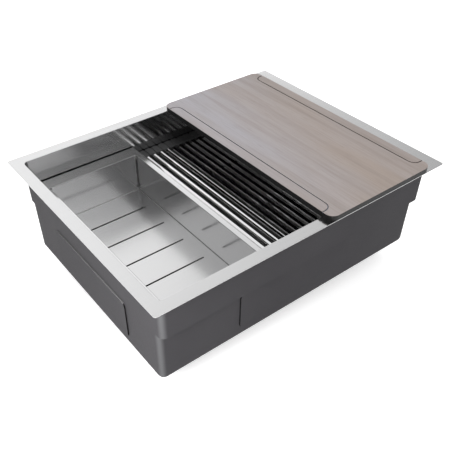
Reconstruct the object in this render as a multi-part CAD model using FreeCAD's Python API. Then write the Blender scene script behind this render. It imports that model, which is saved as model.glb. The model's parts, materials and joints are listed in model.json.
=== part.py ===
"""Workstation kitchen sink with a colander, a roll-up rack and a laminate board.

Lengths are in millimetres. X runs along the sink, Y to its back and Z up.
X and Y are zero on the drain's axis, and Z is zero at the lower end of the drain's outlet.
"""
import FreeCAD, Part
import math
import os

V = FreeCAD.Vector
os.makedirs("parts", exist_ok=True)

# Cutting tools run past what they cut by this much, and edges this close count as one level.
overrun = 5.0
level_slack = 0.01

# Steel bowl: a flat rim, upright walls, a ledge in the front and back walls, and a flat floor.
rim_length = 711.2
rim_depth = 558.8
rim_width = 25.4
rim_corner_radius = 5.0
bowl_sheet = 1.5
bowl_height = 214.0
ledge_drop = 87.0
ledge_width = 12.0
corner_radius = 10.0
floor_radius = 10.0

# Drain seat pressed into the floor, and the hole through it.
seat_radius = 59.0
seat_depth = 3.0
drain_hole_radius = 44.5

# Sound coat on the outside of the bowl, and the damping pads that stand in its windows.
coat_thickness = 2.0
coat_start = 14.0
coat_drain_margin = 9.0
pad_thickness = 4.5
pad_corner_radius = 12.0
pad_margin = 0.1
wall_pad_height = 92.0
wall_pad_drop = 98.0
front_pad_width = 274.0
front_pad_offset = -16.0
side_pad_width = 274.0
floor_pad_drain_gap = 46.0
floor_pad_depth = 300.0
floor_pad_end_margin = 55.2

# Drain strainer, its seals and its nut.
strainer_flange_radius = 57.0
strainer_flange_thickness = 2.0
strainer_radius = 42.0
strainer_wall = 1.5
strainer_depth = 46.0
outlet_drop = 62.0
outlet_radius = 19.0
outlet_wall = 2.0
gasket_thickness = 3.0
gasket_width = 13.0
friction_ring_thickness = 1.0
thread_clearance = 0.3
nut_height = 9.0
nut_width = 9.0
nut_lug_count = 6
nut_lug_length = 5.0
nut_lug_width = 9.0

# Lift-out basket with a rubber stopper under it and a pull post.
basket_clearance = 1.5
basket_height = 30.0
basket_sheet = 1.0
basket_bottom_radius = 33.0
basket_slot_count = 16
basket_slot_width = 3.0
basket_slot_margin = 6.0
stopper_radius = 27.0
stopper_thickness = 5.0
post_radius = 3.5
knob_radius = 10.0
knob_height = 6.0
knob_recess = 4.0
knob_edge_share = 0.33
knob_crown_share = 0.7

# Colander: a folded sheet tray whose rim is turned down at the edges and stands on the ledges.
colander_sheet = 1.2
colander_wall_gap = 2.8
colander_left_rim = 29.0
colander_right_rim = 13.0
colander_length = 214.4
colander_end_rim = 32.8
colander_end_gap = 3.6
colander_rim_drop = 57.0
colander_floor_drop = 150.0
colander_corner_radius = 4.0
colander_floor_radius = 2.0
colander_rim_corner_radius = 6.0
colander_bend_radius = 1.0
colander_side_lip = 9.0
colander_slot_count = 5
colander_slot_pitch = 74.0
colander_slot_length = 145.0
colander_slot_width = 4.0
colander_slot_right_margin = 25.4
corner_slit_width = 3.6
corner_slit_top = 10.0
corner_slit_bottom = 10.0
corner_relief_radius = 4.5

# Roll-up rack: square tubes with a flat tab on each end. The tabs lie on the ledges.
rack_gap = 11.0
rack_slide_room = 50.0
rack_rolling_count = 4
rack_pitch = 18.4
rod_size = 9.0
rod_wall = 0.8
rod_edge_cut = 1.0
tab_height = 11.0
tab_length = 28.0
tab_slit = 0.4
tab_edge_cut = 0.8
tab_corner_cut = 3.0
tab_end_gap = 1.5
rod_insert = 20.0

# Board: a black core between two printed sheets, lying across the rim.
board_width = 283.0
board_back_margin = 14.4
board_core_thickness = 10.4
board_sheet_thickness = 0.8
board_corner_radius = 18.0
board_right_margin = 43.2
board_front_margin = 0.4
groove_inset = 25.0
groove_end_margin = 23.0
groove_width = 2.4
groove_depth = 1.6
groove_corner_radius = 18.0

# Levels, lengths and a count that follow from the sizes above.
rim_top = outlet_drop + bowl_height
ledge_top = rim_top - ledge_drop
floor_underside = rim_top - bowl_height
floor_top = floor_underside + bowl_sheet
seat_top = floor_top - seat_depth
seat_underside = seat_top - bowl_sheet
inside_x = rim_length / 2 - rim_width
inside_y = rim_depth / 2 - rim_width
lower_y = inside_y - ledge_width
floor_pad_length = inside_x - floor_pad_end_margin - floor_pad_drain_gap - seat_radius
colander_depth = 2 * (inside_y - colander_end_gap - colander_end_rim)
colander_edge = -inside_x + colander_wall_gap + colander_left_rim + colander_length + colander_right_rim
rack_start = colander_edge + rack_gap
rack_rod_count = int((inside_x - rack_slide_room - rack_start) // rack_pitch)
board_length = rim_depth - board_front_margin - board_back_margin


def span(half):
    """A pair of ends that are the same distance from zero."""
    return (-half, half)


def grown(ends, amount):
    """A pair of ends, each moved outwards by an amount."""
    return (ends[0] - amount, ends[1] + amount)


def rounded_prism(x_ends, y_ends, z_ends, radius):
    """An upright block with four round corners."""
    x_low, x_high = x_ends
    y_low, y_high = y_ends
    z_low, z_high = z_ends
    radius = min(radius, (x_high - x_low) / 2 - level_slack, (y_high - y_low) / 2 - level_slack)
    inset = radius * (1 - math.sqrt(0.5))
    corners = (
        ((x_high - radius, y_low), (x_high - inset, y_low + inset), (x_high, y_low + radius)),
        ((x_high, y_high - radius), (x_high - inset, y_high - inset), (x_high - radius, y_high)),
        ((x_low + radius, y_high), (x_low + inset, y_high - inset), (x_low, y_high - radius)),
        ((x_low, y_low + radius), (x_low + inset, y_low + inset), (x_low + radius, y_low)),
    )
    edges = []
    for place, corner in enumerate(corners):
        start, middle, end = [V(x, y, z_low) for x, y in corner]
        next_start = V(*corners[(place + 1) % len(corners)][0], z_low)
        edges.append(Part.Arc(start, middle, end).toShape())
        edges.append(Part.LineSegment(end, next_start).toShape())
    return Part.Face(Part.Wire(edges)).extrude(V(0, 0, z_high - z_low))


def box(x_ends, y_ends, z_ends):
    """A plain block between three pairs of ends."""
    corner = V(x_ends[0], y_ends[0], z_ends[0])
    return Part.makeBox(x_ends[1] - x_ends[0], y_ends[1] - y_ends[0], z_ends[1] - z_ends[0], corner)


def disc(radius, z_low, z_high):
    """An upright cylinder on the drain's axis."""
    return Part.makeCylinder(radius, z_high - z_low, V(0, 0, z_low))


def ring(inner_radius, outer_radius, z_low, z_high):
    """A flat ring on the drain's axis."""
    return disc(outer_radius, z_low, z_high).cut(disc(inner_radius, z_low - overrun, z_high + overrun))


def revolved(profile):
    """A body turned about the drain's axis from (radius, height) points."""
    points = [V(radius, 0, height) for radius, height in profile]
    face = Part.Face(Part.makePolygon(points + points[:1]))
    return face.revolve(V(0, 0, 0), V(0, 0, 1), 360)


def edges_at(shape, level):
    """The edges of a shape that lie flat at one level."""
    flat = []
    for edge in shape.Edges:
        bounds = edge.BoundBox
        if abs(bounds.ZMax - level) < level_slack and abs(bounds.ZMin - level) < level_slack:
            flat.append(edge)
    return flat


def tray(x_ends, y_ends, z_ends, radius, bottom_radius):
    """A block with round upright corners and a round bottom edge."""
    block = rounded_prism(x_ends, y_ends, z_ends, radius)
    limit = radius - level_slack
    return block.makeFillet(min(bottom_radius, limit), edges_at(block, z_ends[0]))


def bowl_form(grow, top):
    """The bowl's inside, grown outwards all round, from its floor up to a level."""
    radius = corner_radius + grow
    x_ends = grown(span(inside_x), grow)
    upper = rounded_prism(x_ends, grown(span(inside_y), grow), (ledge_top - grow, top), radius)
    lower_ends = (floor_top - grow, ledge_top)
    lower = tray(x_ends, grown(span(lower_y), grow), lower_ends, radius, floor_radius + grow)
    return upper.fuse(lower).removeSplitter()


def make_sink_bowl():
    """The pressed steel bowl with its rim and its drain seat."""
    rim_ends = (rim_top - bowl_sheet, rim_top)
    rim = rounded_prism(span(rim_length / 2), span(rim_depth / 2), rim_ends, rim_corner_radius)
    bowl = rim.fuse(bowl_form(bowl_sheet, rim_top - bowl_sheet / 2))
    bowl = bowl.fuse(disc(seat_radius + bowl_sheet, seat_underside, floor_top))
    bowl = bowl.cut(bowl_form(0, rim_top + overrun))
    bowl = bowl.cut(disc(seat_radius, seat_top, floor_top + overrun))
    bowl = bowl.cut(disc(drain_hole_radius, seat_underside - overrun, floor_top + overrun))
    return bowl.removeSplitter()


def wall_pad(turn, reach, width, offset, margin, thickness):
    """A damping pad on an outer wall. Turn zero is the front wall, and reach is the wall's distance."""
    high = rim_top - wall_pad_drop + margin
    low = rim_top - wall_pad_drop - wall_pad_height - margin
    x_ends = grown((offset - width / 2, offset + width / 2), margin)
    plate = rounded_prism(x_ends, (low, high), (reach, reach + thickness), pad_corner_radius + margin)
    plate.rotate(V(0, 0, 0), V(1, 0, 0), 90)
    plate.rotate(V(0, 0, 0), V(0, 0, 1), turn)
    return plate


def floor_pad(side, margin, thickness):
    """A damping pad under the floor, to one side of the drain."""
    middle = side * (inside_x - floor_pad_end_margin - floor_pad_length / 2)
    x_ends = grown((middle - floor_pad_length / 2, middle + floor_pad_length / 2), margin)
    y_ends = grown(span(floor_pad_depth / 2), margin)
    z_ends = (floor_underside - thickness, floor_underside)
    return rounded_prism(x_ends, y_ends, z_ends, pad_corner_radius + margin)


def make_pads(margin, thickness):
    """All damping pads by name, grown by a margin so that they can also cut the coat's windows."""
    front_reach = lower_y + bowl_sheet
    side_reach = inside_x + bowl_sheet
    front = (front_reach, front_pad_width)
    side = (side_reach, side_pad_width)
    return {
        "front_pad": wall_pad(0, *front, front_pad_offset, margin, thickness),
        "back_pad": wall_pad(180, *front, -front_pad_offset, margin, thickness),
        "left_pad": wall_pad(-90, *side, 0, margin, thickness),
        "right_pad": wall_pad(90, *side, 0, margin, thickness),
        "floor_pad_left": floor_pad(-1, margin, thickness),
        "floor_pad_right": floor_pad(1, margin, thickness),
    }


def make_sound_coat():
    """The sprayed coat on the outside of the walls and the floor, open round the drain and the pads."""
    coat_top = rim_top - coat_start
    coat = bowl_form(bowl_sheet + coat_thickness, coat_top)
    coat = coat.cut(bowl_form(bowl_sheet, coat_top + overrun))
    open_radius = seat_radius + bowl_sheet + coat_drain_margin
    coat = coat.cut(disc(open_radius, floor_underside - overrun, floor_top))
    for window in make_pads(pad_margin, pad_thickness + overrun).values():
        coat = coat.cut(window)
    return coat


def make_strainer_body():
    """The strainer cup that hangs in the drain hole, with the outlet tube below it."""
    flange_top = seat_top + strainer_flange_thickness
    cup_floor = seat_top - strainer_depth
    inner = strainer_radius - strainer_wall
    bore = outlet_radius - outlet_wall
    return revolved((
        (inner, flange_top),
        (strainer_flange_radius, flange_top - strainer_flange_thickness / 2),
        (strainer_flange_radius, seat_top),
        (strainer_radius, seat_top),
        (strainer_radius, cup_floor - strainer_wall),
        (outlet_radius, cup_floor - strainer_wall),
        (outlet_radius, 0),
        (bore, 0),
        (bore, cup_floor),
        (inner, cup_floor),
    ))


def make_drain_seals():
    """The rubber gasket, the friction ring and the lugged nut that clamp the strainer from below."""
    hole = strainer_radius + thread_clearance
    gasket_low = seat_underside - gasket_thickness
    ring_low = gasket_low - friction_ring_thickness
    nut_low = ring_low - nut_height
    nut_radius = hole + nut_width
    nut = disc(nut_radius, nut_low, ring_low)
    for place in range(nut_lug_count):
        lug = box((0, nut_radius + nut_lug_length), span(nut_lug_width / 2), (nut_low, ring_low))
        lug.rotate(V(0, 0, 0), V(0, 0, 1), 360 * place / nut_lug_count)
        nut = nut.fuse(lug)
    return {
        "strainer_gasket": ring(hole, hole + gasket_width, gasket_low, seat_underside),
        "friction_ring": ring(hole, hole + gasket_width, ring_low, gasket_low),
        "lock_nut": nut.cut(disc(hole, nut_low - overrun, ring_low + overrun)).removeSplitter(),
    }


def make_basket():
    """The perforated basket, the rubber stopper that it stands on, and its pull post."""
    stopper_low = seat_top - strainer_depth
    basket_low = stopper_low + stopper_thickness
    basket_high = basket_low + basket_height
    knob_high = seat_top - knob_recess
    mouth = strainer_radius - strainer_wall - basket_clearance
    basket = revolved((
        (0, basket_low),
        (basket_bottom_radius, basket_low),
        (mouth, basket_high),
        (mouth - basket_sheet, basket_high),
        (basket_bottom_radius - basket_sheet, basket_low + basket_sheet),
        (0, basket_low + basket_sheet),
    ))
    slot_ends = (basket_low + basket_slot_margin, basket_high - basket_slot_margin)
    for place in range(basket_slot_count):
        slot = box((basket_bottom_radius / 2, mouth + overrun), span(basket_slot_width / 2), slot_ends)
        slot.rotate(V(0, 0, 0), V(0, 0, 1), 360 * place / basket_slot_count)
        basket = basket.cut(slot)
    post_low = basket_low + basket_sheet
    knob_low = knob_high - knob_height
    post = revolved((
        (0, post_low),
        (post_radius, post_low),
        (post_radius, knob_low),
        (knob_radius, knob_low + knob_height * knob_edge_share),
        (knob_radius, knob_high - knob_height * knob_edge_share),
        (knob_radius * knob_crown_share, knob_high),
        (0, knob_high),
    ))
    return {
        "basket": basket,
        "basket_stopper": disc(stopper_radius, stopper_low, basket_low),
        "basket_post": post,
    }


def make_colander():
    """The folded colander: walls, a slotted floor, open corner slits and a turned-down rim."""
    sheet = colander_sheet
    rim_z = rim_top - colander_rim_drop
    floor_z = rim_top - colander_floor_drop
    left = -inside_x + colander_wall_gap
    x_ends = (left + colander_left_rim, left + colander_left_rim + colander_length)
    y_ends = span(colander_depth / 2)
    rim_x = (left, x_ends[1] + colander_right_rim)
    rim_y = span(inside_y - colander_end_gap)

    skirt = rounded_prism(rim_x, rim_y, (ledge_top, rim_z), colander_rim_corner_radius)
    skirt = skirt.makeFillet(colander_bend_radius, edges_at(skirt, rim_z))
    hollow_ends = (ledge_top - overrun, rim_z - sheet)
    hollow_radius = colander_rim_corner_radius - sheet
    skirt = skirt.cut(rounded_prism(grown(rim_x, -sheet), grown(rim_y, -sheet), hollow_ends, hollow_radius))
    short_sides = grown(rim_y, -colander_rim_corner_radius - colander_side_lip)
    skirt = skirt.cut(box(grown(rim_x, overrun), short_sides, (ledge_top - overrun, rim_z - colander_side_lip)))

    outer = (floor_z - sheet, rim_z - sheet / 2)
    outer_radius = colander_corner_radius + sheet
    walls = tray(grown(x_ends, sheet), grown(y_ends, sheet), outer, outer_radius, colander_floor_radius + sheet)
    inside_ends = (floor_z, rim_z + overrun)
    inside = tray(x_ends, y_ends, inside_ends, colander_corner_radius, colander_floor_radius)
    body = skirt.fuse(walls).cut(inside).removeSplitter()
    mouth = []
    for edge in edges_at(body, rim_z):
        middle = edge.BoundBox.Center
        if x_ends[0] - level_slack < middle.x < x_ends[1] + level_slack and abs(middle.y) < y_ends[1] + level_slack:
            mouth.append(edge)
    body = body.makeFillet(colander_bend_radius, mouth)

    slot_high = x_ends[1] - colander_slot_right_margin
    slot_x = (slot_high - colander_slot_length, slot_high)
    slot_z = (floor_z - sheet - overrun, floor_z + overrun)
    for place in range(colander_slot_count):
        middle = (place - (colander_slot_count - 1) / 2) * colander_slot_pitch
        slot_y = (middle - colander_slot_width / 2, middle + colander_slot_width / 2)
        body = body.cut(rounded_prism(slot_x, slot_y, slot_z, colander_slot_width / 2))

    relief_z = floor_z + corner_slit_bottom
    slit_z = (relief_z, rim_z - corner_slit_top)
    reach = colander_corner_radius + sheet
    for x, x_side in zip(x_ends, (-1, 1)):
        for y, y_side in zip(y_ends, (-1, 1)):
            turn = math.degrees(math.atan2(y_side, x_side))
            slit = box(span(reach), span(corner_slit_width / 2), slit_z)
            relief = Part.makeCylinder(corner_relief_radius, 2 * reach, V(-reach, 0, relief_z), V(1, 0, 0))
            for tool in (slit, relief):
                tool.rotate(V(0, 0, 0), V(0, 0, 1), turn)
                tool.translate(V(x, y, 0))
                body = body.cut(tool)
    return body


def bar_along_y(x_ends, y_ends, z_ends, cut):
    """A bar that lies along Y, with its four long edges cut at an angle."""
    (x_low, x_high), (z_low, z_high) = x_ends, z_ends
    profile = (
        (x_low + cut, z_low),
        (x_high - cut, z_low),
        (x_high, z_low + cut),
        (x_high, z_high - cut),
        (x_high - cut, z_high),
        (x_low + cut, z_high),
        (x_low, z_high - cut),
        (x_low, z_low + cut),
    )
    points = [V(x, y_ends[0], z) for x, z in profile]
    face = Part.Face(Part.makePolygon(points + points[:1]))
    return face.extrude(V(0, y_ends[1] - y_ends[0], 0))


def rack_rod(place):
    """One tube of the rack and its two end tabs, counted from the colander's side.

    A tab wraps the end of its tube, and its plug fills the tube there.
    """
    middle = rack_start + rack_pitch / 2 + place * rack_pitch
    x_ends = (middle - rod_size / 2, middle + rod_size / 2)
    centre_z = ledge_top + tab_height / 2
    z_ends = (centre_z - rod_size / 2, centre_z + rod_size / 2)
    tab_end = inside_y - tab_end_gap
    tab_start = tab_end - tab_length
    rod_ends = span(tab_start + rod_insert)
    bore = box(grown(x_ends, -rod_wall), grown(rod_ends, overrun), grown(z_ends, -rod_wall))
    rod = bar_along_y(x_ends, rod_ends, z_ends, rod_edge_cut).cut(bore)
    tab_x = (middle - rack_pitch / 2 + tab_slit / 2, middle + rack_pitch / 2 - tab_slit / 2)
    tab_z = (ledge_top, ledge_top + tab_height)
    tabs = []
    for side in (1, -1):
        y_ends = sorted((side * tab_start, side * tab_end))
        plan = (
            (tab_x[0], side * tab_start),
            (tab_x[1], side * tab_start),
            (tab_x[1], side * (tab_end - tab_corner_cut)),
            (tab_x[1] - tab_corner_cut, side * tab_end),
            (tab_x[0] + tab_corner_cut, side * tab_end),
            (tab_x[0], side * (tab_end - tab_corner_cut)),
        )
        points = [V(x, y, ledge_top) for x, y in plan]
        outline = Part.Face(Part.makePolygon(points + points[:1])).extrude(V(0, 0, tab_height))
        bar = bar_along_y(tab_x, y_ends, tab_z, tab_edge_cut)
        tabs.append(bar.common(outline).cut(rod))
    return rod, tabs


def make_rack():
    """The rack: the rods that roll up have a node each, and the rest share one."""
    nodes = {}
    flat_rods = []
    flat_tabs = []
    for place in range(rack_rod_count):
        rod, tabs = rack_rod(place)
        if place < rack_rolling_count:
            nodes[f"rolling_rod_{place + 1}"] = rod
            nodes[f"rolling_tabs_{place + 1}"] = Part.makeCompound(tabs)
        else:
            flat_rods.append(rod)
            flat_tabs.extend(tabs)
    nodes["flat_rods"] = Part.makeCompound(flat_rods)
    nodes["flat_tabs"] = Part.makeCompound(flat_tabs)
    return nodes


def make_board():
    """The board's core and its two printed sheets, with a finger groove near each long edge."""
    x_high = rim_length / 2 - board_right_margin
    x_ends = (x_high - board_width, x_high)
    y_low = -rim_depth / 2 + board_front_margin
    y_ends = (y_low, y_low + board_length)
    core_low = rim_top + board_sheet_thickness
    core_high = core_low + board_core_thickness
    board_high = core_high + board_sheet_thickness
    layers = {
        "board_bottom_sheet": (rim_top, core_low),
        "board_core": (core_low, core_high),
        "board_top_sheet": (core_high, board_high),
    }
    cut_z = (board_high - groove_depth, board_high + overrun)
    groove_y = grown(y_ends, -groove_end_margin)
    reach = groove_inset + groove_corner_radius + overrun
    grooves = []
    for edge, side in zip(x_ends, (1, -1)):
        bounds = sorted((edge - side * reach, edge + side * groove_inset))
        whole = rounded_prism(bounds, groove_y, cut_z, groove_corner_radius)
        left_in = rounded_prism(
            grown(bounds, -groove_width),
            grown(groove_y, -groove_width),
            cut_z,
            groove_corner_radius - groove_width,
        )
        grooves.append(whole.cut(left_in))
    nodes = {}
    for name, z_ends in layers.items():
        layer = rounded_prism(x_ends, y_ends, z_ends, board_corner_radius)
        if z_ends[1] > cut_z[0]:
            layer = layer.cut(grooves)
        nodes[name] = layer
    return nodes


nodes = {"sink_bowl": make_sink_bowl(), "sound_coat": make_sound_coat()}
nodes.update(make_pads(0, pad_thickness))
nodes["strainer_body"] = make_strainer_body()
nodes.update(make_drain_seals())
nodes.update(make_basket())
nodes["colander"] = make_colander()
nodes.update(make_rack())
nodes.update(make_board())

for name, shape in nodes.items():
    shape.exportStep(f"parts/{name}.step")
    bounds = shape.BoundBox
    low = (round(bounds.XMin, 1), round(bounds.YMin, 1), round(bounds.ZMin, 1))
    high = (round(bounds.XMax, 1), round(bounds.YMax, 1), round(bounds.ZMax, 1))
    print(name, shape.isValid(), len(shape.Solids), round(shape.Volume), low, high)
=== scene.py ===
# %% [markdown]
# # A workstation kitchen sink
# A steel bowl hangs under its flat rim. A slotted colander and a roll-up rack stand on ledges in
# its walls, and a laminate board lies across the rim. The CAD model gives every piece its place
# and size, so this script dresses those pieces: it rounds their edges, lofts the bowl anew, builds
# the rack's tubes and tabs and the screw threads by rule, and gives each material its grain, gloss
# and wear, with painted shade, sheen and light where a mesh marks it.

import json
import math

import bmesh
import bpy
from mathutils import Euler, Matrix, Vector


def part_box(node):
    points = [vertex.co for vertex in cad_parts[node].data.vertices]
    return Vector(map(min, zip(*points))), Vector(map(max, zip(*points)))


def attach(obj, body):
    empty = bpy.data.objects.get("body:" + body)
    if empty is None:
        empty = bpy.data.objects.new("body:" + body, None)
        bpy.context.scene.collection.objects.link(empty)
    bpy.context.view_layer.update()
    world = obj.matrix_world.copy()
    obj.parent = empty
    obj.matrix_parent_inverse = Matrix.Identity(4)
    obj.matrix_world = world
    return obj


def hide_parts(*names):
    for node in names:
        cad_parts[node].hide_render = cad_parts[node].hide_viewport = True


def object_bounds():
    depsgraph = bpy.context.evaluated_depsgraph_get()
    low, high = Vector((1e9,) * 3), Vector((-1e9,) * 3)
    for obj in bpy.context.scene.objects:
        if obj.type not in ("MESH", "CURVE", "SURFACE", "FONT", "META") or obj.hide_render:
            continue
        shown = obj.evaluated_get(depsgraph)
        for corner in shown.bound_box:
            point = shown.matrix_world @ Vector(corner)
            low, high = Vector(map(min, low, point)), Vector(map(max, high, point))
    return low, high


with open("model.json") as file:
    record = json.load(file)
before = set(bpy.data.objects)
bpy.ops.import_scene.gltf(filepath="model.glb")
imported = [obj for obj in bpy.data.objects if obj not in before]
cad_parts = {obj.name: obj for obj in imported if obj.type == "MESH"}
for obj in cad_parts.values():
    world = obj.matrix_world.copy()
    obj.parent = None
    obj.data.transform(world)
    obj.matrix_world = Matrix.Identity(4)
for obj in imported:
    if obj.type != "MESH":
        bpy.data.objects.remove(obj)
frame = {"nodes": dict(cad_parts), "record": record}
cad_low, cad_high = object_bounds()
bodies = frame["record"]["behaviour"]["bodies"]
body_of_node = {node: body for body, nodes in bodies.items() for node in nodes}
slot_of_node = {part["node"]: part["material_slot"] for part in frame["record"]["subparts"]}
mm = 0.001
print("CAD nodes:", len(frame["nodes"]), "box:", [round(v, 4) for v in (*cad_low, *cad_high)])

# %% [markdown]
# ## Camera
# The picture is taken from the front left, well above the rim, by a lens of normal length. Its
# frame is a crop, so the lens axis is not in the middle: a small shift of the camera does what
# the crop did, and leaves the vertical edges leaning as they should.

# %% Camera
picture_side = 450.0
lens_in_pixels = 605.1
axis_pixel = (208.8, 271.8)
film_width = 36.0
camera_place = Vector((-0.6687, -0.8383, 0.9613))
camera_turn = math.radians(36.81)
camera_pitch = math.radians(42.81)
camera_roll = math.radians(-0.49)

camera_data = bpy.data.cameras.new("camera")
camera_data.sensor_width = film_width
camera_data.lens = lens_in_pixels / picture_side * film_width
camera_data.shift_x = (picture_side / 2 - axis_pixel[0]) / picture_side
camera_data.shift_y = (axis_pixel[1] - picture_side / 2) / picture_side
camera = bpy.data.objects.new("camera", camera_data)
bpy.context.scene.collection.objects.link(camera)
aim = Euler((math.pi / 2 - camera_pitch, 0, -camera_turn)).to_matrix()
rolled = aim @ Matrix.Rotation(camera_roll, 3, "Z")
camera.matrix_world = Matrix.Translation(camera_place) @ rolled.to_4x4()
bpy.context.scene.camera = camera
shift = (round(camera_data.shift_x, 3), round(camera_data.shift_y, 3))
print("Lens:", round(camera_data.lens, 1), "mm, shift:", *shift)

# %% [markdown]
# ## Node helpers
# Shader trees and geometry trees are built the same way: make a node, set what is constant and
# link what comes from another node. One helper does all three and keeps the cells short.


# %% Node helpers
def add_node(tree, kind, values=None, **settings):
    """A node of a kind. A value that is a socket is linked, and any other value is set."""
    node = tree.nodes.new(kind)
    for name, setting in settings.items():
        setattr(node, name, setting)
    for socket, value in (values or {}).items():
        if isinstance(value, bpy.types.NodeSocket):
            tree.links.new(value, node.inputs[socket])
        else:
            node.inputs[socket].default_value = value
    return node


def new_finish(name, **shader_values):
    """A material with one shader, whose constant values are set on the shader itself."""
    material = bpy.data.materials.new(name)
    material.use_nodes = True
    tree = material.node_tree
    shader = tree.nodes["Principled BSDF"]
    for socket, value in shader_values.items():
        shader.inputs[socket.replace("_", " ")].default_value = value
    return material, tree, shader


def stretched(tree, source, scale):
    """Coordinates scaled differently along each axis, so that a noise turns into streaks."""
    return add_node(tree, "ShaderNodeMapping", {"Vector": source, "Scale": scale}).outputs["Vector"]


def noise(tree, source, detail, scale=1.0, roughness=0.5):
    """A noise between 0 and 1 on given coordinates."""
    values = {"Vector": source, "Scale": scale, "Detail": detail, "Roughness": roughness}
    return add_node(tree, "ShaderNodeTexNoise", values).outputs["Fac"]


def remap(tree, source, low, high, start=0.3, end=0.7):
    """A value moved from one range to another, and held at its ends."""
    values = {"Value": source, "From Min": start, "From Max": end, "To Min": low, "To Max": high}
    return add_node(tree, "ShaderNodeMapRange", values).outputs["Result"]


def total(tree, first, second):
    """The sum of two values."""
    return add_node(tree, "ShaderNodeMath", {0: first, 1: second}, operation="ADD").outputs[0]


def vector_math(tree, operation, values):
    """The vector that an operation on vectors gives."""
    return add_node(tree, "ShaderNodeVectorMath", values, operation=operation).outputs["Vector"]


def reach_along(tree, source, way):
    """How far a vector reaches along a direction."""
    vectors = {0: source, 1: way}
    return add_node(tree, "ShaderNodeVectorMath", vectors, operation="DOT_PRODUCT").outputs["Value"]


def mixed(tree, factor, first, second):
    """A colour between two colours. A mix node has sockets for each type, here those of colours."""
    colours = {0: factor, 6: first, 7: second}
    return add_node(tree, "ShaderNodeMix", colours, data_type="RGBA").outputs[2]


def mark_of(tree):
    """The mark that a mesh carries on its faces."""
    return add_node(tree, "ShaderNodeAttribute", attribute_name="marked").outputs["Fac"]


def grey(value):
    """A neutral colour."""
    return (value, value, value, 1.0)


def bumped(tree, shader, height, distance):
    """A bump on the shader's normal, whose full height is a distance in metres."""
    bump = add_node(tree, "ShaderNodeBump", {"Height": height, "Distance": distance})
    tree.links.new(bump.outputs["Normal"], shader.inputs["Normal"])


print("Helpers for nodes are ready")

# %% [markdown]
# ## Steel
# The bowl and the colander are fine brushed stainless steel. Brushing leaves long parallel
# scratches, so the gloss is streaky along the stroke. A stretched gloss would do from afar, but
# streaks of noise also show close up. Every steel piece carries a map in metres that runs along its
# stroke, and one recipe serves them all: fine streaks lift the surface a little, broad ones change
# the gloss, and soft clouds stand for handling and water marks. Floors are scoured by what stands
# on them and bends are dulled by stretching, so a mark on the mesh changes the steel there. Each
# step of the mark makes the steel rougher by the same amount. Above 1 it also darkens the colour as
# painted shade: the bowl's floor and a bend to a grey, and the walls of the slots nearly to black.

# %% Steel finishes
# Marks of wear and painted shade on steel, and the share of its tone left at a bend and at a cut.
scour_and_painted_shade = 3.5
bend_and_painted_shade = 4.0
cut_and_painted_shade = 6.0
bend_painted_shade_tone = 0.6
cut_painted_shade_tone = 0.05
# The sizes of the noises. A broad streak is several strokes long.
fine_waves_per_metre = 2600
broad_waves_per_metre = 160
broad_strokes = 5
cloud_waves_per_metre = 9.0
groove_depth = 0.0001 * mm
# How far the noises change the steel, and the range that a sum of two or three of them fills.
roughness_share = 0.1
dark_streak = (0.975, 0.975, 0.98)
light_streak = (1.01, 1.01, 1.015)
two_noises = (0.7, 1.3)
three_noises = (1.1, 1.9)


def tinted(tone, tint):
    """A colour of a tone and a tint."""
    return (*(tone * part for part in tint), 1.0)


def brushed_steel(name, tone, roughness, worn_roughness=None, stroke=0.12):
    """Brushed steel: its tone, its roughness, that at a mark of 1, and a stroke's length in metres."""
    material, tree, shader = new_finish(name, Metallic=1.0)
    along = add_node(tree, "ShaderNodeUVMap", uv_map="grain").outputs["UV"]
    fine_scale = (1 / stroke, fine_waves_per_metre, 1)
    broad_scale = (1 / (broad_strokes * stroke), broad_waves_per_metre, 1)
    fine = noise(tree, stretched(tree, along, fine_scale), detail=3)
    broad = noise(tree, stretched(tree, along, broad_scale), detail=4, roughness=0.6)
    place = add_node(tree, "ShaderNodeTexCoord").outputs["Object"]
    cloud = noise(tree, place, detail=3, scale=cloud_waves_per_metre)
    streaks = total(tree, fine, broad)
    spread = roughness * roughness_share
    clouded = total(tree, streaks, cloud)
    gloss = remap(tree, clouded, roughness - spread, roughness + spread, *three_noises)
    lightness = remap(tree, streaks, 0, 1, *two_noises)
    shade = mixed(tree, lightness, tinted(tone, dark_streak), tinted(tone, light_streak))
    if worn_roughness:
        mark = mark_of(tree)
        wear = {0: mark, 1: worn_roughness - roughness, 2: gloss}
        gloss = add_node(tree, "ShaderNodeMath", wear, operation="MULTIPLY_ADD").outputs[0]
        # Past a mark of 1 the colour darkens as painted shade, to a grey at a bend and nearly black at
        # a cut.
        shade = mixed(tree, remap(tree, mark, 0, 1, 1, bend_and_painted_shade), shade, grey(tone * bend_painted_shade_tone))
        shade = mixed(tree, remap(tree, mark, 0, 1, bend_and_painted_shade, cut_and_painted_shade), shade, grey(tone * cut_painted_shade_tone))
    tree.links.new(gloss, shader.inputs["Roughness"])
    tree.links.new(shade, shader.inputs["Base Color"])
    bumped(tree, shader, fine, groove_depth)
    return material


bowl_steel = brushed_steel("bowl_steel", tone=0.70, roughness=0.15, worn_roughness=0.24)
colander_steel = brushed_steel("colander_steel", tone=0.76, roughness=0.16, worn_roughness=0.25)
rod_steel = brushed_steel("rod_steel", tone=0.80, roughness=0.11, stroke=0.2)
drain_steel = brushed_steel("drain_steel", tone=0.72, roughness=0.14, stroke=0.03)
print("Steel finishes:", bowl_steel.name, colander_steel.name, rod_steel.name, drain_steel.name)

# %% [markdown]
# ## Coat, rubber, silicone and plastic
# The outside of the bowl is sprayed with a thick grey coat that stops it ringing. It dries with a
# pebbled skin, so its bump has two sizes of grain. Silicone, rubber, fibre and moulded plastic are
# matt and nearly even, and each gets a fine grain of its own with pale specks. Some meshes mark
# where a finish differs, as an attribute that the finish reads: the bowl's upright corners get a
# paler painted sheen, the ends of the damping pads are black, and their upper edges get a paler
# painted light.

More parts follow.
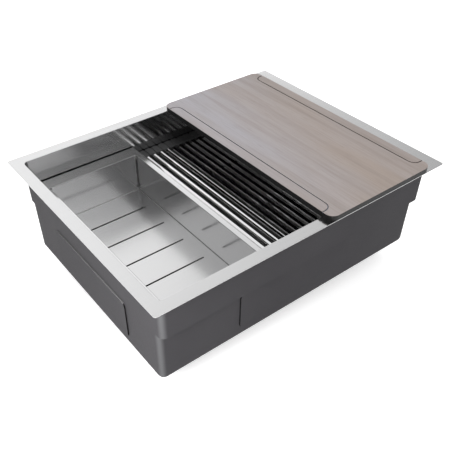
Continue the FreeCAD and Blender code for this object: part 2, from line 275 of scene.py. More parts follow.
# %% Matt finishes
# The coarse grain's scale as a share of the fine one's, and how far patches and specks go.
coarse_share = 0.22
patch_waves_per_metre = 7.0
patch_shares = (0.25, 0.75)
speck_share = 0.35
speck_range = (0.45, 0.75)
matt_spread = 0.06


def matt(
    name, dark, light, roughness, grain, height, marked_colour=None, upper_edge_painted_light=None, specular=0.3
):
    """A matt finish of two colours, with a grain's size and height in metres.

    It has a colour of its own where the mark is 1, and painted light where the mark is -1.
    """
    material, tree, shader = new_finish(name, Specular_IOR_Level=specular)
    place = add_node(tree, "ShaderNodeTexCoord").outputs["Object"]
    fine = noise(tree, place, detail=3, scale=1 / grain, roughness=0.6)
    coarse = noise(tree, place, detail=2, scale=coarse_share / grain)
    patches = noise(tree, place, detail=3, scale=patch_waves_per_metre)
    colour = mixed(tree, remap(tree, patches, *patch_shares), dark, light)
    colour = mixed(tree, remap(tree, fine, 0, speck_share, *speck_range), colour, light)
    if marked_colour:
        mark = mark_of(tree)
        colour = mixed(tree, remap(tree, mark, 0, 1, 0, 1), colour, marked_colour)
        # A mark of -1 gets a paler painted light.
        if upper_edge_painted_light:
            colour = mixed(tree, remap(tree, mark, 1, 0, -1, 0), colour, upper_edge_painted_light)
    tree.links.new(colour, shader.inputs["Base Color"])
    gloss = remap(tree, fine, roughness - matt_spread, roughness + matt_spread)
    tree.links.new(gloss, shader.inputs["Roughness"])
    bumped(tree, shader, total(tree, fine, coarse), height)
    return material


coat_dark = (0.036, 0.034, 0.038, 1)
coat_light = (0.049, 0.047, 0.051, 1)
# A paler painted sheen on the coat's upright corners.
corner_painted_sheen = (0.10, 0.10, 0.104, 1)
coat_specular = 0.12
# The pads' ends are black.
pad_end_black = grey(0.004)
# A paler painted light on the pads' upper edges.
pad_top_painted_light = grey(0.2)
silicone_dark = (0.050, 0.050, 0.051, 1)
silicone_light = (0.070, 0.070, 0.071, 1)
fibre_dark = (0.36, 0.26, 0.16, 1)
fibre_light = (0.50, 0.39, 0.26, 1)
plastic_dark = (0.66, 0.66, 0.63, 1)
plastic_light = (0.74, 0.74, 0.71, 1)
# A pale blue-grey painted sheen in the groove by the bowl.
groove_painted_sheen = (0.17, 0.18, 0.205, 1)
coat_finish = matt(
    "sound_coat", coat_dark, coat_light, roughness=0.6, grain=1.6 * mm, height=0.12 * mm,
    marked_colour=corner_painted_sheen, specular=coat_specular,
)
pad_finish = matt(
    "damping_pad", coat_dark, coat_light, roughness=0.62, grain=1.3 * mm, height=0.1 * mm,
    marked_colour=pad_end_black, upper_edge_painted_light=pad_top_painted_light, specular=coat_specular,
)
silicone = matt(
    "tab_silicone", silicone_dark, silicone_light, roughness=0.55, grain=0.6 * mm, height=0.03 * mm
)
rubber = matt(
    "seal_rubber", grey(0.012), grey(0.022), roughness=0.6, grain=0.5 * mm, height=0.03 * mm
)
fibre = matt("fibre", fibre_dark, fibre_light, roughness=0.85, grain=0.9 * mm, height=0.08 * mm)
nut_plastic = matt(
    "nut_plastic", plastic_dark, plastic_light, roughness=0.42, grain=0.7 * mm, height=0.02 * mm
)
board_core_and_sheen = matt(
    "board_core", grey(0.006), grey(0.010), roughness=0.5, grain=0.4 * mm, height=0.01 * mm,
    marked_colour=groove_painted_sheen,
)
print("Matt finishes are ready")

# %% [markdown]
# ## Board
# The board is a compact laminate: a black core, a black underside and a printed top sheet of pale
# grey-brown wood. The print has long fibres, slow bands from the growth rings, and drifts from a
# cool grey at its back left to a warm brown at its front right. A picture of wood could be laid on
# it, but layers of stretched noise need no picture and never repeat. The sheet is embossed with the
# same fibres, so they also show in the gloss.

# %% Board finish
# Each share says how strong a layer is, and each range which values of its noise it fades in over.
pale_wood = (0.37, 0.308, 0.273, 1)
deep_wood = (0.25, 0.212, 0.19, 1)
cool_wood = (0.40, 0.386, 0.415, 1)
pore_wood = (0.18, 0.15, 0.13, 1)
band_sway = (0.03, 0, 0)
band_share = 0.7
band_range = (0.46, 0.74)
fibre_share = 0.45
fibre_range = (0.45, 0.8)
fibre_height = 0.03 * mm
pore_share = 0.4
pore_range = (0.62, 0.75)
cool_way = (-1.5, 1.0, 0)
cool_range = (-0.6, 0.15)
cool_drift = (-0.5, 0.5)
print_roughness = (0.46, 0.6)


def printed_wood():
    """Grey-brown wood print with its fibres along Y."""
    material, tree, shader = new_finish("board_print", Specular_IOR_Level=0.3)
    place = add_node(tree, "ShaderNodeTexCoord").outputs["Object"]

    def streaks(source, across, along, **settings):
        """A noise with so many waves per metre across the fibres and along them."""
        return noise(tree, stretched(tree, source, (across, along, across)), **settings)

    drift = streaks(place, across=7, along=1.6, detail=3)
    swayed = vector_math(tree, "MULTIPLY_ADD", {0: drift, 1: band_sway, 2: place})
    bands = streaks(swayed, across=34, along=1.1, detail=4, roughness=0.62)
    fibres = streaks(place, across=420, along=9, detail=4, roughness=0.65)
    pores = streaks(place, across=900, along=30, detail=2)
    slope = remap(tree, reach_along(tree, place, cool_way), 0, 1, *cool_range)
    coolness = total(tree, slope, remap(tree, drift, *cool_drift))
    colour = mixed(tree, remap(tree, coolness, 0, 1, 0, 1), pale_wood, cool_wood)
    colour = mixed(tree, remap(tree, bands, 0, band_share, *band_range), colour, deep_wood)
    colour = mixed(tree, remap(tree, fibres, 0, fibre_share, *fibre_range), colour, deep_wood)
    colour = mixed(tree, remap(tree, pores, 0, pore_share, *pore_range), colour, pore_wood)
    tree.links.new(colour, shader.inputs["Base Color"])
    tree.links.new(remap(tree, fibres, *print_roughness), shader.inputs["Roughness"])
    bumped(tree, shader, fibres, fibre_height)
    return material


board_print = printed_wood()
print("Board finish:", board_print.name)

# %% [markdown]
# ## Dressed pieces
# A CAD solid has perfectly sharp edges, and nothing real does: a thin rounded edge is what catches
# the light. Each CAD mesh is copied, its loose triangles are merged and joined into whole faces,
# and a Bevel rounds what is sharp. The copy then stands for its node.

# %% Dressing helpers
finish_of_slot = {
    "bowl_steel": bowl_steel, "colander_steel": colander_steel, "rod_steel": rod_steel,
    "drain_steel": drain_steel, "sound_coat": coat_finish, "tab_silicone": silicone,
    "seal_rubber": rubber, "fibre": fibre, "nut_plastic": nut_plastic,
    "board_core": board_core_and_sheen, "board_print": board_print,
}
# A face looks along an axis when that part of its normal is over the limit, so within 45 degrees.
facing_limit = 0.71
sharp_angle = math.radians(28)
flat_angle = math.radians(0.2)
merge_distance = 0.002 * mm


def lay_grain(mesh, floor_along_x=True):
    """A map in metres whose U runs along the brush stroke: level on walls, lengthways on flats."""
    layer = mesh.uv_layers.new(name="grain")
    for face in mesh.polygons:
        across_x = abs(face.normal.x) > facing_limit
        level = abs(face.normal.z) > facing_limit
        for corner in face.loop_indices:
            x, y, z = mesh.vertices[mesh.loops[corner].vertex_index].co
            if level:
                layer.data[corner].uv = (x, y) if floor_along_x else (y, x)
            else:
                layer.data[corner].uv = (y, z) if across_x else (x, z)


def new_piece(name, mesh):
    """A piece of the scene with a given mesh."""
    piece = bpy.data.objects.new(name, mesh)
    bpy.context.scene.collection.objects.link(piece)
    return piece


def soften(piece, edge_round=0.0, segments=2):
    """Rounded edges, with the flat faces between them kept flat in the shading."""
    if edge_round:
        rounding = piece.modifiers.new("rounded edges", "BEVEL")
        rounding.width = edge_round
        rounding.segments = segments
        rounding.limit_method = "ANGLE"
        rounding.angle_limit = sharp_angle
    even = piece.modifiers.new("flat faces stay flat", "WEIGHTED_NORMAL")
    even.keep_sharp = True


def made_plain(piece, floor_along_x=True):
    """The piece with its modifiers turned into a plain mesh, and with its grain laid."""
    graph = bpy.context.evaluated_depsgraph_get()
    piece.data = bpy.data.meshes.new_from_object(piece.evaluated_get(graph), depsgraph=graph)
    piece.modifiers.clear()
    piece.data.name = piece.name
    lay_grain(piece.data, floor_along_x)
    return piece


def settle(piece, nodes, finish=None):
    """The piece rides on the body of the nodes that it stands for, and takes their slot."""
    slot = slot_of_node[nodes[0]]
    piece.data.materials.clear()
    piece.data.materials.append(finish or finish_of_slot[slot])
    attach(piece, body_of_node[nodes[0]])
    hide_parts(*nodes)
    print(piece.name, len(piece.data.polygons), "faces, for", *nodes)


def dressed(node, edge_round, segments=2):
    """A copy of a CAD node with rounded edges."""
    mesh = frame["nodes"][node].data.copy()
    shape = bmesh.new()
    shape.from_mesh(mesh)
    bmesh.ops.remove_doubles(shape, verts=shape.verts, dist=merge_distance)
    bmesh.ops.dissolve_limit(shape, angle_limit=flat_angle, verts=shape.verts, edges=shape.edges)
    for face in shape.faces:
        face.smooth = True
    shape.to_mesh(mesh)
    shape.free()
    piece = new_piece(node + "_dressed", mesh)
    soften(piece, edge_round, segments)
    return made_plain(piece)


print("Helpers for dressing are ready")

# %% [markdown]
# ## Marks
# A finish often differs from face to face of one piece: a floor is scoured and a bend is dulled,
# and the bowl's floor, bends and cuts get painted shade. A rule looks at each face, at its normal
# and its place, and writes a number that the finish reads. This needs no texture painting, and
# still holds when a size changes.

# %% Mark helpers
# Limits for the parts of a face's normal, and a height above a floor's underside.
level_limit = 0.9
upright_limit = 0.5
straight_limit = 0.985
slot_depth = 1.2 * mm


def mark_faces(piece, share_of):
    """Marks how much the finish differs on each face, by a rule on the face."""
    mark = piece.data.attributes.new("marked", "FLOAT", "FACE")
    for face in piece.data.polygons:
        mark.data[face.index].value = share_of(face)
    return piece


def worn_and_shaded(piece, floor_wear_and_shade=1.0, folded=False):
    """The piece with its floor marked for wear and painted shade, and a folded one's bends and slots
    too.
    """
    heights = [corner.co.z for corner in piece.data.vertices]
    low = min(heights)
    middle = (low + max(heights)) / 2

    def wear(face):
        """The wear and painted shade of a face. A slot's walls are low and upright, and a bend looks
        along no axis.
        """
        if folded and abs(face.normal.z) < upright_limit and face.center.z < low + slot_depth:
            return cut_and_painted_shade
        if folded and max(abs(part) for part in face.normal) < straight_limit:
            return bend_and_painted_shade
        return floor_wear_and_shade * (face.normal.z > level_limit and face.center.z < middle)

    return mark_faces(piece, wear)


print("Helpers for marks are ready")

# %% [markdown]
# ## Bowl
# The bowl is formed from one sheet, so its inside and outside are the same form, one sheet apart.
# It could be dressed from the CAD mesh, but the rim is a very wide flat ring whose long triangles
# shade badly. It is lofted here instead: each loop is a rounded rectangle, or a circle at the
# drain, with the same number of points. The loops follow the sheet's section from the drain hole
# up to the rim and back down the outside, and the bends are arcs of that section.

# %% Bowl loops
bowl_low, bowl_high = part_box("sink_bowl")
sheet = 1.5 * mm
rim_width = 25.4 * mm
rim_corner_radius = 5.0 * mm
rim_edge = 0.4 * mm
rim_bend = 1.0 * mm
ledge_bend = 1.2 * mm
ledge_drop = 87.0 * mm
ledge_width = 12.0 * mm
corner_radius = 10.0 * mm
seat_radius = 59.0 * mm
seat_depth = 3.0 * mm
seat_bend = 0.8 * mm
drain_hole_radius = 44.5 * mm

rim_top = bowl_high.z
rim_underside = rim_top - sheet
ledge_top = rim_top - ledge_drop
ledge_underside = ledge_top - sheet
seat_underside = bowl_low.z
seat_top = seat_underside + sheet
floor_top = seat_top + seat_depth
floor_underside = floor_top - sheet
inside_x = bowl_high.x - rim_width
inside_y = bowl_high.y - rim_width
lower_y = inside_y - ledge_width
side_steps = 12
corner_steps = 6


def quarter(steps, backwards=False):
    """Sine and cosine at even steps through a quarter turn."""
    turns = [step / steps * math.pi / 2 for step in range(steps + 1)]
    return [(math.sin(turn), math.cos(turn)) for turn in (reversed(turns) if backwards else turns)]


def rounded_loop(out, step_y, height, radius=None):
    """A rounded rectangle that lies out from the bowl's lower inside, and steps out more in Y."""
    radius = corner_radius + out if radius is None else radius
    half = Vector((inside_x + out, lower_y + out + step_y))
    still = Vector((inside_x - corner_radius, lower_y - corner_radius))
    points = []
    for x_side, y_side, along_y in ((1, 1, True), (-1, 1, False), (-1, -1, True), (1, -1, False)):
        for step in range(side_steps + 1):
            share = 2 * step / side_steps - 1
            if along_y:
                points.append((x_side * half.x, y_side * share * still.y, height))
            else:
                points.append((x_side * share * still.x, y_side * half.y, height))
        for sine, cosine in quarter(corner_steps):
            first, second = (cosine, sine) if along_y else (sine, cosine)
            x = half.x - radius + radius * first
            y = half.y - radius + radius * second
            points.append((x_side * x, y_side * y, height))
    return points


def round_loop(radius, height):
    """A circle round the drain, with its points in line with those of the floor's edge."""
    points = []
    for x, y, z in rounded_loop(-corner_radius, 0, height):
        reach = math.hypot(x, y)
        points.append((x / reach * radius, y / reach * radius, z))
    return points


def between(first, second, share):
    """A loop part of the way from one loop to another."""
    return [tuple(Vector(a).lerp(Vector(b), share)) for a, b in zip(first, second)]


print("Points in a loop of the bowl:", len(round_loop(seat_radius, floor_top)))

# %% Bowl section
fold_steps = 3
rim_steps = 4
floor_steps = 6
edge_share = 0.3
floor_shares = (0.3, 0.65)
underside_shares = (0.35, 0.7)


def seat_inside():
    """Loops from the drain hole up the two bends of its seat."""
    loops = [round_loop(drain_hole_radius, seat_top)]
    for sine, cosine in quarter(fold_steps):
        radius = seat_radius - seat_bend * (1 - sine)
        loops.append(round_loop(radius, seat_top + seat_bend * (1 - cosine)))
    for sine, cosine in quarter(fold_steps):
        radius = seat_radius + seat_bend * (1 - cosine)
        loops.append(round_loop(radius, floor_top - seat_bend * (1 - sine)))
    return loops


def wall_inside():
    """Loops from the floor's edge up the inside: the floor's bend, the ledge's two and the rim's."""
    loops = []
    for sine, cosine in quarter(floor_steps):
        height = floor_top + corner_radius * (1 - cosine)
        loops.append(rounded_loop(corner_radius * (sine - 1), 0, height))
    for sine, cosine in quarter(fold_steps):
        height = ledge_top - ledge_bend * (1 - sine)
        loops.append(rounded_loop(0, ledge_bend * (1 - cosine), height))
    for sine, cosine in quarter(fold_steps):
        height = ledge_top + ledge_bend * (1 - cosine)
        loops.append(rounded_loop(0, ledge_width - ledge_bend * (1 - sine), height))
    for sine, cosine in quarter(rim_steps):
        height = rim_top - rim_bend * (1 - sine)
        loops.append(rounded_loop(rim_bend * (1 - cosine), ledge_width, height))
    return loops


def rim_outside():
    """Loops over the rim's outer edge, which is broken above and below."""
    loops = []
    for inset, height in (
        (rim_edge, rim_top),
        (rim_edge * edge_share, rim_top - rim_edge * edge_share),
        (0, rim_top - rim_edge),
        (0, rim_underside + rim_edge),
        (rim_edge, rim_underside),
    ):
        loops.append(rounded_loop(rim_width - inset, ledge_width, height, rim_corner_radius - inset))
    return loops


def wall_outside():
    """Loops down the outside: the rim's bend, the ledge's two and the floor's."""
    outer_radius = corner_radius + sheet
    loops = []
    for sine, cosine in quarter(fold_steps):
        height = rim_underside - rim_bend * (1 - cosine)
        loops.append(rounded_loop(sheet + rim_bend * (1 - sine), ledge_width, height))
    for sine, cosine in quarter(fold_steps):
        height = ledge_underside + ledge_bend * (1 - sine)
        loops.append(rounded_loop(sheet, ledge_width - ledge_bend * (1 - cosine), height))
    for sine, cosine in quarter(fold_steps):
        height = ledge_underside - ledge_bend * (1 - cosine)
        loops.append(rounded_loop(sheet, ledge_bend * (1 - sine), height))
    for sine, cosine in quarter(floor_steps, backwards=True):
        height = floor_underside + outer_radius * (1 - cosine)
        loops.append(rounded_loop(sheet - outer_radius * (1 - sine), 0, height))
    return loops


def seat_outside():
    """Loops from the floor's underside down the outside of the seat and in to the drain hole."""
    outer_radius = seat_radius + sheet
    return [
        round_loop(outer_radius + seat_bend, floor_underside),
        round_loop(outer_radius, floor_underside - seat_bend),
        round_loop(outer_radius, seat_underside + rim_edge),
        round_loop(outer_radius - rim_edge, seat_underside),
        round_loop(drain_hole_radius, seat_underside),
    ]


def bowl_section():
    """All loops of the bowl, from the drain hole up its inside and down its outside."""
    seat = seat_inside()
    wall = wall_inside()
    outside = wall_outside()
    under_seat = seat_outside()
    floor_loops = [between(seat[-1], wall[0], share) for share in floor_shares]
    underside_loops = [between(outside[-1], under_seat[0], share) for share in underside_shares]
    return seat + floor_loops + wall + rim_outside() + outside + underside_loops + under_seat


section = bowl_section()
print("Loops in the bowl's section:", len(section))

# %% Bowl
loft_merge = 0.001 * mm


def lofted(name, loops):
    """A closed skin over a ring of loops."""
    count = len(loops[0])
    shape = bmesh.new()
    rows = [[shape.verts.new(point) for point in loop] for loop in loops]
    for row, next_row in zip(rows, rows[1:] + rows[:1]):
        for place in range(count):
            after = (place + 1) % count
            shape.faces.new((row[place], row[after], next_row[after], next_row[place])).smooth = True
    bmesh.ops.remove_doubles(shape, verts=shape.verts, dist=loft_merge)
    bmesh.ops.dissolve_degenerate(shape, edges=shape.edges, dist=loft_merge)
    bmesh.ops.recalc_face_normals(shape, faces=shape.faces)
    mesh = bpy.data.meshes.new(name)
    shape.to_mesh(mesh)
    shape.free()
    return new_piece(name, mesh)


bowl = lofted("sink_bowl_dressed", section)
soften(bowl)
# The bowl's floor is scoured rougher, and darkened as painted shade.
settle(worn_and_shaded(made_plain(bowl), floor_wear_and_shade=scour_and_painted_shade), ["sink_bowl"])

# %% [markdown]
# ## Coat and pads
# The coat is sprayed over the outside of the bowl, and its upright corners get a paler painted
# sheen. The pads are thick rubber sheets that are pressed on first, so the spray covers their faces
# and upper edges. Their ends are black, and their upper edges get a paler painted light. The CAD
# meshes have these forms already, so they are only rounded, and marks on their faces tell the
# finish where it differs.

# %% Coat and pads
coat_edge = 0.6 * mm
pad_edge = 0.8 * mm
pad_end_limit = 0.6
pad_top_limit = 0.5
x_ends = (0,)
y_ends = (1,)
all_ends = (0, 1)


def corner_sheen_mark(face):
    """The painted sheen mark of the coat's face: 1 half way round an upright corner, and 0 on a wall.
    """
    return (2 * face.normal.x * face.normal.y) ** 2


def pad_mark(face, end_axes):
    """The mark of a pad's face: 1 on its black ends, and -1 on its upper edge, for painted light."""
    if max(abs(face.normal[axis]) for axis in end_axes) > pad_end_limit:
        return 1.0
    return -float(face.normal.z > pad_top_limit)


settle(mark_faces(dressed("sound_coat", coat_edge), corner_sheen_mark), ["sound_coat"])
for pad, end_axes in (
    ("front_pad", x_ends), ("back_pad", x_ends), ("left_pad", y_ends), ("right_pad", y_ends),
    ("floor_pad_left", all_ends), ("floor_pad_right", all_ends),
):
    piece = dressed(pad, pad_edge, segments=3)
    mark_faces(piece, lambda face: pad_mark(face, end_axes))
    settle(piece, [pad], pad_finish)

# %% [markdown]
# ## Drain
# The strainer hangs in the floor's seat and is clamped from below by a rubber gasket, a fibre ring
# and a lugged nut. Its basket lifts out by a post. These are turned and pressed pieces, and the CAD
# solids already have their forms, so they only get rounded edges.

# %% Drain
drain_edge = 0.3 * mm
for node in (
    "strainer_body", "strainer_gasket", "friction_ring", "lock_nut",
    "basket", "basket_stopper", "basket_post",
):
    settle(dressed(node, drain_edge), [node])

# %% [markdown]
# ## Colander and board
# The colander is one folded sheet, so its folds are soft and its cut edges are barely broken. Its
# slots are in the CAD mesh already, so it only needs rounding and marks, which also paint shade on
# its bends and on the walls of its slots. The board's layers are pressed together and cut in one
# pass, so their edges stay crisp. The grooves are cut through the print into the black core. In the
# groove by the bowl, the core has a pale blue-grey painted sheen.

# %% Colander and board
colander_edge = 0.15 * mm
board_edge = 0.2 * mm
settle(worn_and_shaded(dressed("colander", colander_edge), folded=True), ["colander"])
for node in ("board_core", "board_top_sheet", "board_bottom_sheet"):
    layer = dressed(node, board_edge)
    low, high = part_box(node)
    # The core's level faces left of its middle, in the groove by the bowl, get the painted sheen.
    painted_sheen_end = (low.x + high.x) / 2 if node == "board_core" else low.x
    mark_faces(layer, lambda face: float(face.normal.z > level_limit and face.center.x < painted_sheen_end))
    settle(layer, [node])

# %% [markdown]
# ## Rules for what repeats
# The rack is the same tube and tab again and again, and a screw thread is one profile along a
# spiral. Geometry Nodes says such things as a rule with named inputs: a row is a line of points
# with an instance on each, and a ridge is a profile swept along a path. Each rule ends in real
# geometry with its material, and the result is kept as a plain mesh.


# %% Rule helpers
def rule_tree(name, **inputs):
    """An empty geometry tree with named inputs of given kinds."""
    tree = bpy.data.node_groups.new(name, "GeometryNodeTree")
    tree.interface.new_socket("Geometry", in_out="OUTPUT", socket_type="NodeSocketGeometry")
    for label, kind in inputs.items():
        tree.interface.new_socket(label, in_out="INPUT", socket_type="NodeSocket" + kind)
    return tree, tree.nodes.new("NodeGroupInput").outputs


def end_rule(tree, geometry, finish):
    """The end of a rule: real geometry, shaded smooth, with its material."""
    whole = add_node(tree, "GeometryNodeRealizeInstances", {"Geometry": geometry})
    smooth = add_node(tree, "GeometryNodeSetShadeSmooth", {"Geometry": whole.outputs["Geometry"]})
    paint = {"Geometry": smooth.outputs["Geometry"], "Material": finish}
    painted = add_node(tree, "GeometryNodeSetMaterial", paint)
    end = tree.nodes.new("NodeGroupOutput")
    tree.links.new(painted.outputs["Geometry"], end.inputs["Geometry"])
    return tree


def by_rule(name, tree, edge_round=0.0, **inputs):
    """A plain piece made by a rule with given inputs, and with rounded edges."""
    piece = new_piece(name, bpy.data.meshes.new(name))
    rule = piece.modifiers.new("rule", "NODES")
    rule.node_group = tree
    for socket in tree.interface.items_tree:
        if socket.in_out == "INPUT":
            rule[socket.identifier] = inputs[socket.name]
    soften(piece, edge_round)
    return made_plain(piece, floor_along_x=False)


def row_of(tree, given, first, instance, turn=(0, 0, 0)):
    """Instances along a line of points, each turned by three angles."""
    line = {"Count": given["count"], "Start Location": first, "Offset": given["step"]}
    points = add_node(tree, "GeometryNodeMeshLine", line).outputs["Mesh"]
    values = {"Points": points, "Instance": instance, "Rotation": turn}
    return add_node(tree, "GeometryNodeInstanceOnPoints", values).outputs["Instances"]


def joined(tree, *parts):
    """Several geometries as one."""
    join = tree.nodes.new("GeometryNodeJoinGeometry")
    for part in parts:
        tree.links.new(part, join.inputs["Geometry"])
    return join.outputs["Geometry"]


print("Helpers for rules are ready")

# %% [markdown]
# ## Rack
# The rack is a row of square tubes, each capped at both ends by a flat silicone tab, and it rolls up
# from one end. A tube is a square with rounded corners, swept along a line. Its thin sides sink a
# little between their corners, and it sits a few degrees turned in its tabs: both were chosen so
# that the tubes mirror the light in bands like those in the photograph. So the square's points move
# out by the square of their distance from the middle of their side, and each tube is turned, and
# made smaller by what the turn adds to its width. A tab is a rectangle whose corners at the bowl's
# wall are cut back in an arc, filled and raised. The rods that roll up are bodies of their own in
# the CAD model, so each gets a row of one, and the flat rods get one row.

# %% Rack rules
tube_corner_points = 4
tube_side_cuts = 5
tab_corner_points = 6
corners_at_wall = 2
tab_weld = 0.01 * mm
to_front = (1, -1, 1)
half_turn = (0, 0, math.pi)


def tube_rule():
    """A row of square tubes along Y."""
    tree, given = rule_tree(
        "rack tubes", count="Int", first="Vector", step="Vector", length="Float", size="Float",
        edge="Float", dish="Float", turn="Vector", finish="Material",
    )
    sides = {"Width": given["size"], "Height": given["size"]}
    square = add_node(tree, "GeometryNodeCurvePrimitiveQuadrilateral", sides).outputs["Curve"]
    arcs = {"Curve": square, "Count": tube_corner_points, "Radius": given["edge"]}
    filleted = add_node(tree, "GeometryNodeFilletCurve", arcs, mode="POLY").outputs["Curve"]
    cuts = {"Curve": filleted, "Cuts": tube_side_cuts}
    fine = add_node(tree, "GeometryNodeSubdivideCurve", cuts).outputs["Curve"]
    place = tree.nodes.new("GeometryNodeInputPosition").outputs["Position"]
    squared = vector_math(tree, "MULTIPLY", {0: place, 1: place})
    parts = add_node(tree, "ShaderNodeSeparateXYZ", {"Vector": squared}).outputs
    crossed = {"X": parts["Y"], "Y": parts["X"]}
    swapped = add_node(tree, "ShaderNodeCombineXYZ", crossed).outputs["Vector"]
    outward = vector_math(tree, "MULTIPLY", {0: swapped, 1: place})
    offset = vector_math(tree, "SCALE", {0: outward, "Scale": given["dish"]})
    move = {"Geometry": fine, "Offset": offset}
    profile = add_node(tree, "GeometryNodeSetPosition", move).outputs["Geometry"]
    run = {"Direction": (0, 1, 0), "Length": given["length"]}
    path = add_node(tree, "GeometryNodeCurvePrimitiveLine", run, mode="DIRECTION").outputs["Curve"]
    sweep = {"Curve": path, "Profile Curve": profile, "Fill Caps": True}
    tube = add_node(tree, "GeometryNodeCurveToMesh", sweep).outputs["Mesh"]
    return end_rule(tree, row_of(tree, given, given["first"], tube, given["turn"]), given["finish"])


def tab_rule():
    """Two facing rows of tabs. The back ones have their arcs at +Y, and the front ones are turned."""
    tree, given = rule_tree(
        "rack tabs", count="Int", first="Vector", step="Vector", width="Float", length="Float",
        height="Float", wall_arc="Float", inner_arc="Float", finish="Material",
    )
    sides = {"Width": given["width"], "Height": given["length"]}
    plan = add_node(tree, "GeometryNodeCurvePrimitiveQuadrilateral", sides).outputs["Curve"]
    index = tree.nodes.new("GeometryNodeInputIndex").outputs["Index"]
    order = {2: index, 3: corners_at_wall}
    at_wall = add_node(tree, "FunctionNodeCompare", order, data_type="INT", operation="LESS_THAN")
    arc = {0: at_wall.outputs["Result"], 1: given["inner_arc"], 2: given["wall_arc"]}
    radius = add_node(tree, "GeometryNodeSwitch", arc, input_type="FLOAT").outputs["Output"]
    arcs = {"Curve": plan, "Count": tab_corner_points, "Radius": radius}
    outline = add_node(tree, "GeometryNodeFilletCurve", arcs, mode="POLY").outputs["Curve"]
    plate = add_node(tree, "GeometryNodeFillCurve", {"Curve": outline}, mode="NGONS").outputs["Mesh"]
    rise = {"Mesh": plate, "Offset Scale": given["height"], "Individual": False}
    raised = add_node(tree, "GeometryNodeExtrudeMesh", rise, mode="FACES").outputs["Mesh"]
    underside = add_node(tree, "GeometryNodeFlipFaces", {"Mesh": plate}).outputs["Mesh"]
    weld = {"Geometry": joined(tree, raised, underside), "Distance": tab_weld}
    tab = add_node(tree, "GeometryNodeMergeByDistance", weld).outputs["Geometry"]
    facing_first = vector_math(tree, "MULTIPLY", {0: given["first"], 1: to_front})
    back = row_of(tree, given, given["first"], tab)
    front = row_of(tree, given, facing_first, tab, half_turn)
    return end_rule(tree, joined(tree, back, front), given["finish"])


tubes = tube_rule()
tabs = tab_rule()
print("Rack rules:", tubes.name, tabs.name)

# %% Rack
tab_length = 28.0 * mm
tab_wall_arc = 4.5 * mm
tab_inner_arc = 0.6 * mm
tab_edge = 1.0 * mm
tab_slit = 0.5 * mm
tube_edge = 0.4 * mm
tube_dish = 0.45 * mm
tube_turn = math.radians(6)
rolling_count = sum(node.startswith("rolling_rod") for node in frame["nodes"])
first_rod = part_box("rolling_rod_1")
second_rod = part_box("rolling_rod_2")
flat_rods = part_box("flat_rods")
rod_width = first_rod[1].x - first_rod[0].x
pitch = second_rod[0].x - first_rod[0].x
flat_count = round((flat_rods[1].x - flat_rods[0].x - rod_width) / pitch) + 1


def tube_inputs(rod_node):
    """What the rule for tubes is given. A corner, half a side out both ways, moves by the dish."""
    low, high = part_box(rod_node)
    size = high.z - low.z
    half = size / (math.cos(tube_turn) + math.sin(tube_turn)) / 2 - tube_dish
    first = Vector((low.x + size / 2, low.y, (low.z + high.z) / 2))
    return {
        "first": first, "length": high.y - low.y, "size": 2 * half, "edge": tube_edge,
        "dish": tube_dish / half**3, "turn": (0, -tube_turn, 0), "finish": rod_steel,
    }


def tab_inputs(tab_node, count):
    """What the rule for tabs is given."""
    low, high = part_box(tab_node)
    width = high.x - low.x - pitch * (count - 1)
    first = Vector((low.x + width / 2, high.y - tab_length / 2, low.z))
    return {
        "first": first, "width": width - 2 * tab_slit, "length": tab_length, "height": high.z - low.z,
        "wall_arc": tab_wall_arc, "inner_arc": tab_inner_arc, "finish": silicone,
    }


def rack_row(rod_node, tab_node, count):
    """The tubes and tabs that stand for two nodes of the rack."""
    row = {"count": count, "step": (pitch, 0, 0)}
    settle(by_rule(rod_node + "_tubes", tubes, **row, **tube_inputs(rod_node)), [rod_node])
    blocks = by_rule(tab_node + "_blocks", tabs, tab_edge, **row, **tab_inputs(tab_node, count))
    settle(blocks, [tab_node])


for place in range(1, rolling_count + 1):
    rack_row(f"rolling_rod_{place}", f"rolling_tabs_{place}", 1)
rack_row("flat_rods", "flat_tabs", flat_count)

# %% [markdown]
# ## Screw threads
# The strainer's cup and its outlet are threaded, for the nut and for the waste pipe. A thread could
# be cut into the metal, but a ridge along a spiral looks the same and leaves the cup's mesh clean.
# It stands only a quarter of a millimetre proud, which stays within the nut's clearance.

# %% Screw threads
thread_pitch = 2.0 * mm
ridge_size = 0.5 * mm
ridge_rise = 0.25 * mm
ridge_sides = 6
turn_points = 48
cup_radius = 42.0 * mm
outlet_radius = 19.0 * mm
cup_bottom = 13.0 * mm


def thread_rule():
    """A ridge along a spiral round the drain's axis."""
    tree, given = rule_tree(
        "thread", start="Vector", turns="Float", radius="Float", height="Float", ridge="Float",
        finish="Material",
    )
    coil = {
        "Resolution": turn_points, "Rotations": given["turns"], "Start Radius": given["radius"],
        "End Radius": given["radius"], "Height": given["height"],
    }
    path = add_node(tree, "GeometryNodeCurveSpiral", coil).outputs["Curve"]
    ring = {"Resolution": ridge_sides, "Radius": given["ridge"]}
    profile = add_node(tree, "GeometryNodeCurvePrimitiveCircle", ring).outputs["Curve"]
    sweep = {"Curve": path, "Profile Curve": profile, "Fill Caps": True}
    ridge = add_node(tree, "GeometryNodeCurveToMesh", sweep).outputs["Mesh"]
    lift = {"Geometry": ridge, "Translation": given["start"]}
    lifted = add_node(tree, "GeometryNodeTransform", lift).outputs["Geometry"]
    return end_rule(tree, lifted, given["finish"])


